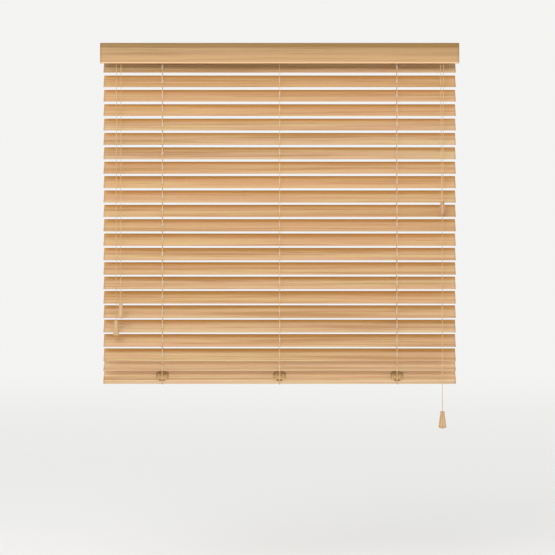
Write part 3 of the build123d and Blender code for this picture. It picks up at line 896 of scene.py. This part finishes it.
@dataclass
class Ladders:
    """The front and rear strings of the three ladders."""

    radius: float = 0.8 * MM
    lay: float = 5.4 * MM
    step: float = 0.75 * MM
    swelling: float = 0.3
    tie_z: float = -963.0 * MM
    tie_swelling: float = 1.5
    tie_length: float = 1.7 * MM
    end_reach: float = 23.6 * MM
    stretch_marks: tuple[int, ...] = (0, LAST_FIXED_SLAT, LAST_EVEN_SLAT)

    def build(self, string: bpy.types.Material) -> None:
        """Hangs all strings, cut where a different body takes over."""
        for name, side in (("front", -1), ("rear", 1)):
            self.hang(name, side, string)

    def reach(self) -> float:
        """How far a string hangs from the slats' middle plane, in plan."""
        return LADDER_REACH * math.cos(SLAT_TILT)

    def attach_z(self, side: int, number: int) -> float:
        """Height at which a string meets a slat's rung."""
        return FIRST_SLAT_Z - SLAT_PITCH * number + side * LADDER_REACH * math.sin(SLAT_TILT)

    def route(self, x: float, side: int) -> np.ndarray:
        """Middle line of one string, from the drum in the headrail to the bottom rail.

        Args:
            x: Place of the ladder.
            side: -1 for the front string, 1 for the rear one.

        Returns:
            Evenly spaced points, from the top down.
        """
        out, last = self.reach() / MM, self.end_reach / MM
        foot = -1001.5 if side < 0 else -983.5
        bend = (-946.0, -958.0) if side < 0 else (-914.0, -930.0)
        plan = [(9.4, -17.0), (9.6, -24.0), (out - 0.5, -38.0), (out, EXIT_Z / MM), (out, -60.0),
                (out, bend[0]), (out + 1.0, bend[1]), (last, foot + 25.0), (last, foot)]
        return resample(nurbs_route([(x / MM, side * y, z) for y, z in plan]), self.step)

    def hang(self, name: str, side: int, string: bpy.types.Material) -> None:
        """Hangs the strings of one side.

        Args:
            name: front or rear.
            side: -1 for the front, 1 for the rear.
            string: Finish of the strings.
        """
        marks = [self.attach_z(side, number) for number in self.stretch_marks]
        paths = [self.route(x, side) for x in LADDER_X]
        skins = []
        for path in paths:
            phase = (path[:, 2] - marks[0]) / SLAT_PITCH
            swell = np.clip(np.sin(np.pi * (phase % 1.0)), 0, 1) ** 8
            swell = np.where((path[:, 2] > marks[0]) | (path[:, 2] < marks[2]), 0, swell)
            tie = np.exp(-(((path[:, 2] - self.tie_z) / self.tie_length) ** 2)) * (side < 0)
            radius = self.radius * (1 + self.swelling * swell + self.tie_swelling * tie)
            skins.append(laid_cord(path, radius, self.lay))
        limits = [1.0, *marks, -2.0]
        node = f"ladder_{name}_strings"
        for part, (high, low) in enumerate(zip(limits, limits[1:])):
            cuts = []
            for skin in skins:
                level = skin.points[:, :, 2].mean(axis=1)
                inside = np.nonzero((level <= high + self.step) & (level >= low - 1e-9))[0]
                cuts.append(Surface(skin.points[inside[0] : inside[-1] + 1]))
            piece = build_mesh(f"ladder_{name}_string_{part}", cuts)
            body = None if part == 0 else f"ladder_{name}"
            nodes = (node,) if part == 1 else ()
            finish_piece(piece, string, body, nodes)
            if part == 0:
                side * self.reach()
                side * self.reach()
                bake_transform(piece)
            elif part == 2:
                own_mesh(piece)
            elif part == 3:
                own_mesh(piece)


@dataclass
class LiftCords:
    """The two cords that raise the bottom rail."""

    radius: float = 0.8 * MM
    lay: float = 4.2 * MM
    step: float = 0.8 * MM

    def build(self, cord: bpy.types.Material) -> None:
        """Runs the cords from the cord lock to the bottom rail.

        Args:
            cord: Finish of the cords.
        """
        last_fixed = FIRST_SLAT_Z - LAST_FIXED_SLAT * SLAT_PITCH
        last_even = FIRST_SLAT_Z - LAST_EVEN_SLAT * SLAT_PITCH
        runs = [
            [(464, 0, -31), (400, 0, -31), (357, 0, -31), (350, 0, -30.9), (350, 0, -38),
             (350, 0, -90), (350, 0, last_fixed / MM)],
            [(464, -5, -31), (380, -5, -31), (-250, -5, -31), (-315, -4, -31), (-330, 0, -31),
             (-343, 0, -31), (-350, 0, -30.9), (-350, 0, -38), (-350, 0, -90),
             (-350, 0, last_fixed / MM)],
        ]
        skins = []
        for route in runs:
            path = resample(nurbs_route(route), self.step * 1.6)
            skins.append(laid_cord(path, self.radius, self.lay * 2, side=(0, 1, 0)))
        piece = build_mesh("lift_cords_upper", skins)
        finish_piece(piece, cord, "root", ("lift_cord_runs",))
        moving = range(LAST_FIXED_SLAT + 1, SLAT_COUNT)
        steps = tuple(f"lift_cord_step_{number:02d}" for number in moving)
        middle = self.lengths("lift_cords_middle", last_fixed, last_even)
        finish_piece(middle, cord, "root", steps)
        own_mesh(middle)
        lower = self.lengths("lift_cords_lower", last_even, RAIL_Z)
        finish_piece(lower, cord, "root", ("lift_cord_rail_end",))
        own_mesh(lower)

    def lengths(self, name: str, top: float, foot: float) -> bpy.types.Object:
        """Straight lengths of both cords.

        Args:
            name: Name of the piece.
            top: Upper height.
            foot: Lower height.

        Returns:
            The new piece.
        """
        levels = np.linspace(top, foot, int((top - foot) / self.step) + 1)
        paths = [np.stack([np.full_like(levels, x), levels * 0, levels], axis=1) for x in LIFT_X]
        return build_mesh(name, [laid_cord(path, self.radius, self.lay) for path in paths])


# ---------------------------------------------------------------- valance and bottom rail


@dataclass
class Valance:
    """The moulded board in front of the headrail."""

    half_length: float = HALF_VALANCE_LENGTH
    end_rounding: float = 2.2 * MM
    arc_steps: int = 7
    # corners of the section, y and z in millimetres, with the rounding of each
    section: tuple = (
        (-33.5, -0.5, 0.6), (-40.6, -0.5, 2.2), (-42.0, -11.5, 6.0), (-42.5, -22.0, 14.0),
        (-42.5, -57.2, 2.4), (-39.4, -61.5, 1.8), (-33.5, -61.5, 0.6),
    )

    def outline(self) -> np.ndarray:
        """The section's rounded outline.

        Formula: each corner is replaced by a quadratic curve that starts and ends at its
        rounding's distance along the two sides.

        Returns:
            Points of y and z, seen from +X counter-clockwise.
        """
        corners = np.array(self.section)
        places, reach = corners[:, :2] * MM, corners[:, 2:] * MM
        before = np.roll(places, 1, axis=0) - places
        after = np.roll(places, -1, axis=0) - places
        start = places + before / np.linalg.norm(before, axis=1)[:, None] * reach
        end = places + after / np.linalg.norm(after, axis=1)[:, None] * reach
        share = np.linspace(0, 1, self.arc_steps)[None, :, None]
        arcs = ((1 - share) ** 2 * start[:, None] + 2 * share * (1 - share) * places[:, None]
                + share**2 * end[:, None])
        return arcs.reshape(-1, 2)

    def build(self, wood: bpy.types.Material) -> None:
        """Sweeps the outline along X, with rounded ends.

        Args:
            wood: Finish of the board.
        """
        outline = self.outline()
        middle = (outline.max(axis=0) + outline.min(axis=0)) / 2
        half = (outline.max(axis=0) - outline.min(axis=0)) / 2
        turn = np.linspace(0, np.pi / 2, 6)
        inset = self.end_rounding * (1 - np.sin(turn))
        ends = -self.half_length + self.end_rounding * (1 - np.cos(turn))
        middle_rows = np.linspace(ends[-1], -ends[-1], 40)[1:-1]
        along = np.concatenate([ends, middle_rows, -ends[::-1]])
        inset = np.concatenate([inset, middle_rows * 0, inset[::-1]])
        scale = 1 - inset[:, None, None] / half[None, None, :]
        rows = middle[None, None, :] + (outline - middle)[None] * scale
        xs = np.repeat(along[:, None, None], len(outline), axis=1)
        skin = np.concatenate([xs, rows], axis=2)
        caps = [skin[i : i + 1] * 0 + skin[i].mean(axis=0) for i in (0, -1)]
        skin = np.concatenate([caps[0], skin, caps[1]])
        piece = build_mesh("valance_board", [Surface(skin)], sharp=50.0)
        finish_piece(piece, wood, "root", ("valance",))


@dataclass
class RailKnots:
    """Woven mats of ladder cord over the bottom rail, and the tails tucked under it."""

    strand_radius: float = 2.0 * MM
    pitch: float = 7.0 * MM
    reach: tuple[float, float] = (18.5 * MM, 24.0 * MM)  # half the mat, across and along
    strand_count: int = 7
    wave: float = 0.9 * MM
    flatness: float = 0.5  # the strands are pressed to this share of their height
    roundness: float = 2.6
    shade_sheet_lift: float = 0.5 * MM
    rear: float = 23.0 * MM
    corner: float = 3.0 * MM
    half_width: float = 25 * MM
    half_height: float = 7 * MM
    row_step: float = 0.8 * MM

    def wrap(self, along: np.ndarray, lift: np.ndarray, x: np.ndarray) -> np.ndarray:
        """Places points on the rail's upper and front faces.

        Formula: the distance runs forwards over the upper face, round a quarter circle at
        the corner, and down the front face; the lift is added along the face's normal.

        Args:
            along: Distance from the mat's rear end.
            lift: Distance off the face.
            x: Place along the rail.

        Returns:
            Points in the frame.
        """
        flat = self.rear + self.half_width - self.corner
        turn = np.clip((along - flat) / self.corner, 0, np.pi / 2)
        down = np.maximum(along - flat - self.corner * np.pi / 2, 0)
        width = (self.rear - np.minimum(along, flat)) - (self.corner + lift) * np.sin(turn)
        height = (self.half_height - self.corner + (self.corner + lift) * np.cos(turn)) - down
        return board_point(x, width, height, END_TILT, RAIL_Z)

    def mat(self, x: float) -> list[Surface]:
        """The strands of one mat.

        Formula: two sets of strands cross at a right angle, both aslant to the rail, and rise
        and fall as cosines of opposite sign where they cross; each ends at an outline of
        |across/a|^2.6 + |along/b|^2.6 = 1.

        Args:
            x: Middle of the mat.

        Returns:
            One skin for each strand.
        """
        base = self.strand_radius + self.wave
        long = self.reach[1]
        run = np.arange(-40 * MM, 40 * MM, self.row_step)
        skins = []
        for way in (-1, 1):
            for number in range(self.strand_count):
                offset = (number - (self.strand_count - 1) / 2) * self.pitch
                bow = offset + 0.4 * MM * np.sin(run / (7 * MM) + number * 2.1)
                across = (run * way - bow * way) / math.sqrt(2)
                along = (run + bow) / math.sqrt(2)
                inside = self.beyond(across, along) < 1
                if inside.sum() < 8:
                    continue
                across, along, here = across[inside], along[inside], run[inside]
                phase = np.pi * (here / self.pitch + number + (way < 0))
                edge = np.minimum(np.arange(len(here)), np.arange(len(here))[::-1])
                sink = np.clip(edge / 3, 0.1, 1)
                lift = (base + self.wave * np.cos(phase)) * sink
                skins.append(self.strand(x, across, long + along, lift, (way, -1, 0)))
        return skins

    def beyond(self, across: np.ndarray, along: np.ndarray) -> np.ndarray:
        """How far out a point of the mat lies, where the outline is at 1."""
        wide, long = self.reach
        return np.abs(across / wide) ** self.roundness + np.abs(along / long) ** self.roundness

    def ground(self, x: float) -> Surface:
        """A thin sheet under the strands, dark with painted shade seen in the gaps between them.

        Formula: rings from the middle to just inside the mat's outline, a little off the rail,
        then back to the middle on the rail.

        Args:
            x: Middle of the mat.

        Returns:
            A thin closed skin.
        """
        turn = -2 * np.pi * np.arange(72) / 72
        size = self.beyond(self.reach[0] * np.cos(turn), self.reach[1] * np.sin(turn))
        size = 0.93 * size ** (-1 / self.roundness)
        out = np.concatenate([np.linspace(0, 1, 25), np.linspace(1, 0, 25)])[:, None]
        lift = np.repeat([self.shade_sheet_lift, 0.0], 25)[:, None] + 0 * out * turn
        across = out * size * self.reach[0] * np.cos(turn)
        along = self.reach[1] + out * size * self.reach[1] * np.sin(turn)
        return Surface(self.wrap(along, lift, x + across))

    def strand(self, x: float, across, along, lift: np.ndarray, side: tuple) -> Surface:
        """One strand, made flat and then wrapped round the rail.

        Args:
            x: Middle of the mat.
            across: Distance from that middle.
            along: Distance from the mat's rear end.
            lift: Height of the strand's middle before it is pressed.
            side: A direction across the strand.

        Returns:
            The strand's skin.
        """
        flat = np.stack(np.broadcast_arrays(across, along, lift), axis=-1)
        skin = laid_cord(flat, self.strand_radius, 11 * MM, groove=0.2, side=side).points
        lift = np.maximum(skin[..., 2] * self.flatness, 0)
        return Surface(self.wrap(skin[..., 1], lift, x + skin[..., 0]))

    def tail(self, x: float) -> Surface:
        """The string's end, down the front face and under the rail to its button."""
        plan = [(-24.0, 8.5), (-27.0, 8.0), (-26.0, 3.0), (-26.0, -5.0), (-26.0, -8.1),
                (-22.0, -7.9), (-9.0, -7.8)]
        tilted = [board_point(x, w * MM, h * MM, END_TILT, RAIL_Z) / MM for w, h in plan]
        return laid_cord(resample(nurbs_route(tilted), 0.8 * MM), 0.8 * MM, 5 * MM)

    def build(self, cord: bpy.types.Material) -> None:
        """Ties a mat and a tail at each ladder.

        Args:
            cord: Finish of the knots.
        """
        # each mat gets a thin sheet under its strands, which shows painted shade in the gaps
        skins = [skin for x in LADDER_X for skin in (*self.mat(x), self.ground(x), self.tail(x))]
        piece = build_mesh("rail_knots", skins)
        finish_piece(piece, cord, "bottom_rail", ("ladder_knots",))


# ---------------------------------------------------------------- cords to pull


@dataclass
class PullSide:
    """What the tilt cords and the lift cord have in common."""

    cord_radius: float = 1.0 * MM
    lay: float = 6.0 * MM
    step: float = 0.8 * MM

    def hang_cord(self, name: str, route: tuple, cord: bpy.types.Material, body: str,
                  riders: list[bpy.types.Object], nodes: tuple[str, ...] = (),
                  radius: float | None = None, pays_out: bool = True) -> None:
        """Hangs one free cord.

        Args:
            name: Name of the piece.
            route: Control points in millimetres, from where it comes out.
            cord: Finish.
            body: Body that pulls its lower end.
            riders: Not used.
            nodes: CAD nodes that it replaces.
            radius: Radius of the cord, if it isn't the usual one.
            pays_out: Whether it comes out of the headrail as its lower end goes down.
        """
        radius = radius or self.cord_radius
        path = nurbs_route(route)
        piece = build_mesh(name, [laid_cord(resample(path, self.step), radius, self.lay)])
        finish_piece(piece, cord, None if pays_out else body, nodes)
        if pays_out:
            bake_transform(piece)

    def knot(self, top: tuple, drop: float, size: float, radius: float) -> Surface:
        """A small overhand knot under a cord's end.

        Formula: the middle line is a trefoil, which goes round its axis twice while it
        winds three times.

        Args:
            top: Point that the piece hangs from, in millimetres.
            drop: Distance below it, in millimetres.
            size: Reach of the trefoil.
            radius: Radius of the cord.

        Returns:
            The knot's skin.
        """
        turn = np.linspace(0, 2 * np.pi, 60)
        path = np.stack([
            top[0] * MM + size / 3 * (np.sin(turn) + 2 * np.sin(2 * turn)),
            top[1] * MM + size / 3 * (np.cos(turn) - 2 * np.cos(2 * turn)),
            (top[2] - drop) * MM - size / 2.2 * np.sin(3 * turn),
        ], axis=1)
        return laid_cord(path, radius, 9 * MM, groove=0.1, side=(0.1, 0.2, 1))


@dataclass
class TiltPulls(PullSide):
    """Two tilt cords, each with a turned wooden tassel."""

    routes: dict = field(default_factory=lambda: {
        "long": [(-485.4, -31.0, -46.0), (-485.5, -31.1, -75.0), (-486.0, -35.5, -825.0)],
        "short": [(-472.0, -31.0, -46.0), (-472.0, -31.5, -75.0), (-471.5, -48.5, -772.9)],
    })
    # outline of a tassel: radius and distance below the top, from the foot's recess up
    profile: tuple = (
        (0.0, 40.5), (2.6, 40.6), (3.0, 45.6), (3.5, 46.0), (6.6, 45.2), (8.9, 43.8), (9.6, 42.2),
        (9.6, 40.9), (9.1, 39.8), (8.3, 39.0), (8.1, 38.2), (8.25, 37.4), (7.9, 35.0), (7.3, 30.0),
        (6.7, 23.0), (6.15, 16.0), (5.7, 10.0), (5.35, 5.6), (5.05, 5.0), (5.05, 4.4), (5.5, 3.8),
        (5.7, 2.4), (5.55, 1.0), (4.9, 0.15), (1.9, 0.0), (1.4, 0.6), (1.3, 4.0), (0.0, 4.2),
    )

    def build(self, cord: bpy.types.Material, wood: bpy.types.Material) -> None:
        """Hangs both cords and their tassels.

        Args:
            cord: Finish of the cords.
            wood: Finish of the tassels.
        """
        for name, route in self.routes.items():
            body = f"tilt_pull_{name}"
            top = route[-1]
            tassel = build_mesh(f"tassel_{name}", [turned(self.profile, top)], sharp=60.0)
            finish_piece(tassel, wood, body, (f"tilt_tassel_{name}",))
            knot = build_mesh(f"tassel_knot_{name}", [self.knot(top, 42.4, 1.5 * MM, 0.7 * MM)])
            finish_piece(knot, cord, body)
            self.hang_cord(f"cord_to_tilt_{name}", route, cord, body, [tassel, knot],
                           (f"tilt_cord_{name}",))


@dataclass
class LiftPull(PullSide):
    """Two cord tails into a joiner, one pull cord out of it, and the lift tassel."""

    tails: tuple = (
        ((478.4, -31.0, -46.0), (478.5, -31.1, -75.0), (481.7, -34.0, -471.9)),
        ((487.0, -31.0, -46.0), (486.9, -31.1, -75.0), (485.3, -34.0, -471.9)),
    )
    joiner_top: tuple = (483.5, -34.0, -472.0)
    pull_end: tuple = (484.0, -34.0, -1095.0)
    pull_radius: float = 1.1 * MM
    joiner_profile: tuple = (
        (0.0, 37.6), (1.5, 37.8), (1.9, 39.8), (4.6, 40.0), (5.4, 39.3), (5.7, 37.6), (5.75, 36.6),
        (6.35, 35.6), (6.8, 30.0), (7.0, 24.0), (7.0, 19.0), (6.95, 13.0), (6.7, 8.0), (6.1, 4.2),
        (5.35, 3.4), (5.6, 2.4), (5.3, 0.7), (4.5, 0.0), (3.6, 0.3), (3.3, 2.4), (0.0, 2.8),
    )
    tassel_profile: tuple = (
        (0.0, 44.5), (3.0, 44.6), (3.6, 50.5), (4.3, 51.0), (8.0, 50.2), (10.8, 48.8), (11.9, 47.0),
        (12.0, 45.2), (11.5, 43.8), (10.8, 42.8), (10.7, 41.8), (10.85, 40.8), (10.4, 37.0),
        (9.5, 30.0), (8.6, 22.5), (7.7, 15.0), (6.95, 9.0), (6.6, 6.2), (6.25, 5.5), (6.25, 4.8),
        (6.75, 4.1), (7.0, 2.6), (6.8, 1.1), (6.0, 0.15), (2.1, 0.0), (1.6, 0.6), (1.5, 4.0),
        (0.0, 4.3),
    )

    def build(self, cord: bpy.types.Material, wood: bpy.types.Material) -> None:
        """Hangs the tails, joiner, pull cord and tassel.

        Args:
            cord: Finish of the cords.
            wood: Finish of the turned pieces.
        """
        joiner = build_mesh("joiner_barrel", [turned(self.joiner_profile, self.joiner_top)],
                            sharp=60.0)
        finish_piece(joiner, wood, "lift_pull", ("cord_joiner",))
        tassel = build_mesh("tassel_lift", [turned(self.tassel_profile, self.pull_end)],
                            sharp=60.0)
        finish_piece(tassel, wood, "lift_pull", ("lift_tassel",))
        knot = build_mesh("tassel_knot_lift", [self.knot(self.pull_end, 46.8, 1.8 * MM, 0.8 * MM)])
        finish_piece(knot, cord, "lift_pull")
        for number, route in enumerate(self.tails):
            nodes = ("lift_cord_tails",) if number == 0 else ()
            self.hang_cord(f"lift_tail_{number}", route, cord, "lift_pull", [joiner], nodes)
        route = ((483.5, -34.0, -512.0), (483.7, -34.0, -760.0), self.pull_end)
        self.hang_cord("pull_cord_lift", route, cord, "lift_pull", [tassel, knot], ("pull_cord",),
                       self.pull_radius, pays_out=False)


# ---------------------------------------------------------------- headrail


@dataclass
class Headrail:
    """The steel channel and what is in it, which keep their CAD shapes."""

    enamel: HardFinish = HardFinish(tone(226, 214, 192), tone(196, 180, 152), gloss=0.3, coat=0.3)
    bracket_enamel: HardFinish = HardFinish(tone(218, 206, 184), tone(178, 164, 140), gloss=0.36,
                                            amount=0.5, coat=0.2)
    steel: HardFinish = HardFinish(tone(150, 150, 152), tone(104, 102, 100), gloss=0.28,
                                   amount=0.5, metallic=1.0)
    brass: HardFinish = HardFinish(tone(196, 160, 88), tone(140, 106, 52), gloss=0.3, metallic=1.0)
    cream_plastic: HardFinish = HardFinish(tone(222, 206, 178), tone(190, 172, 142), gloss=0.42,
                                           pitch=1400.0, bump=0.1)
    white_plastic: HardFinish = HardFinish(tone(232, 230, 224), tone(198, 194, 184), gloss=0.4,
                                           pitch=1400.0, bump=0.1)
    grey_plastic: HardFinish = HardFinish(tone(176, 174, 168), tone(132, 128, 120), gloss=0.45,
                                          pitch=1400.0, bump=0.12)
    clear_plastic: HardFinish = HardFinish(tone(236, 232, 222), tone(206, 200, 186), gloss=0.22,
                                           pitch=1100.0, bump=0.05, coat=0.4)
    tan_plastic: HardFinish = HardFinish(tone(198, 152, 102), tone(158, 112, 68), gloss=0.4,
                                         pitch=1400.0, bump=0.1)

    def build(self) -> None:
        """Dresses each CAD node in its finish."""
        wanted = {
            "Enamelled channel": (self.enamel, ["headrail"]),
            "Enamelled bracket": (self.bracket_enamel, ["mounting_brackets"]),
            "Zinc-plated rod": (self.steel, ["tilt_rod"]),
            "Brass roller": (self.brass, ["cord_lock_roller"]),
            "Cream plastic": (self.cream_plastic, ["headrail_end_caps"]),
            "White plastic": (self.white_plastic, ["tilter_housing", "cord_lock_housing",
                                                   "drum_cradles"]),
            "Grey plastic": (self.grey_plastic, ["ladder_drums", "tilter_worm"]),
            "Clear plastic": (self.clear_plastic, ["valance_clips"]),
            "Tan plastic": (self.tan_plastic, ["rail_buttons"]),
        }
        for name, (finish, nodes) in wanted.items():
            material = finish.material(name)
            for node in nodes:
                dress(node, material)
            log.info("%s on %s", name, ", ".join(nodes))


# ---------------------------------------------------------------- the blind


def main() -> None:
    """Builds the studio and the blind, in order."""
    logging.basicConfig(level=logging.INFO, format="%(name)s %(message)s")
    wood_grain_group()
    fine_wear_group()
    Studio().build()
    pull_cord = CordFinish(base=tone(216, 184, 140),
                           shade=tone(186, 150, 106)).material("Pull cord")
    tassel_wood = WoodFinish(
        Board.UPRIGHT, seed=2.3, pale=tone(192, 160, 116), rosy=tone(190, 148, 114),
        deep=tone(148, 108, 66), contrast=0.8).material("Tassel wood")
    TiltPulls().build(pull_cord, tassel_wood)
    LiftPull().build(pull_cord, tassel_wood)
    string = CordFinish(beads=True).material("Ladder string")
    rung = CordFinish().material("Ladder rung")
    slat_wood = WoodFinish(Board.SLATS, seed=0.4).material("Slat wood with painted light and shade")
    last_wood = WoodFinish(Board.LAST_SLAT, seed=9.1).material("Last slat wood with painted light")
    Slats().build(slat_wood, last_wood, rung)
    Ladders().build(string)
    LiftCords().build(CordFinish(base=tone(232, 212, 180)).material("Lift cord"))
    Valance().build(WoodFinish(
        Board.VALANCE, seed=4.2, pale=tone(166, 133, 86), rosy=tone(162, 124, 84),
        deep=tone(126, 89, 44), contrast=0.75).material("Valance wood with painted light and shade"))
    dress("bottom_rail", WoodFinish(Board.RAIL, seed=6.6).material("Rail wood with painted light"))
    knot_cord = CordFinish(base=tone(224, 186, 132), shade=tone(200, 158, 106), painted_hollow_shade=True)
    RailKnots().build(knot_cord.material("Knot cord with painted shade"))
    Headrail().build()


if __name__ == "__main__":
    main()
